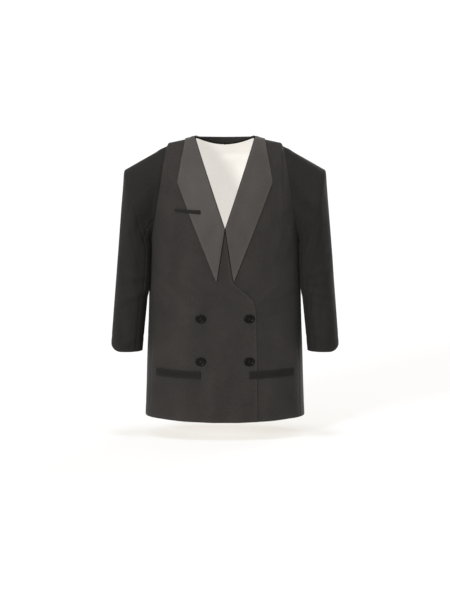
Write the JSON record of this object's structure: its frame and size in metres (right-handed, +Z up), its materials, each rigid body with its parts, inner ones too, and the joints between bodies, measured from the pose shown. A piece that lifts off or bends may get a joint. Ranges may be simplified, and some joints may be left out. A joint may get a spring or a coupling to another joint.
{
  "type": "double-breasted blazer",
  "caption": "Dark double-breasted blazer with long notchless lapels, filled out and hollow, with open neck, hem and cuffs.",
  "frame": {"origin": "middle of the neck opening, level with the inner ends of the shoulder seams", "axes": "+Z up along the garment, -Y the way the front faces, +X towards the wearer's left"},
  "size_m": [0.6044, 0.2658, 0.7453],
  "materials": {
    "suiting": "fine dark brown-grey wool twill",
    "sleeve_suiting": "fine near-black wool twill",
    "lapel_facing": "lighter grey-brown twill facing with a low sheen",
    "lining": "pale smooth lining",
    "button_horn": "polished near-black horn"
  },
  "bodies": {
    "root": {"front_right": "suiting", "front_left": "suiting", "side_right": "suiting", "side_left": "suiting", "back_right": "suiting", "back_left": "suiting", "collar": "suiting", "upper_sleeve_right": "sleeve_suiting", "upper_sleeve_left": "sleeve_suiting", "under_sleeve_right": "sleeve_suiting", "under_sleeve_left": "sleeve_suiting", "breast_welt": "sleeve_suiting", "pocket_right": "sleeve_suiting", "pocket_left": "sleeve_suiting", "lapel_right": "lapel_facing", "lapel_left": "lapel_facing", "back_lining": "lining", "button_upper_right": "button_horn", "button_upper_left": "button_horn", "button_lower_right": "button_horn", "button_lower_left": "button_horn"}
  },
  "joints": []
}
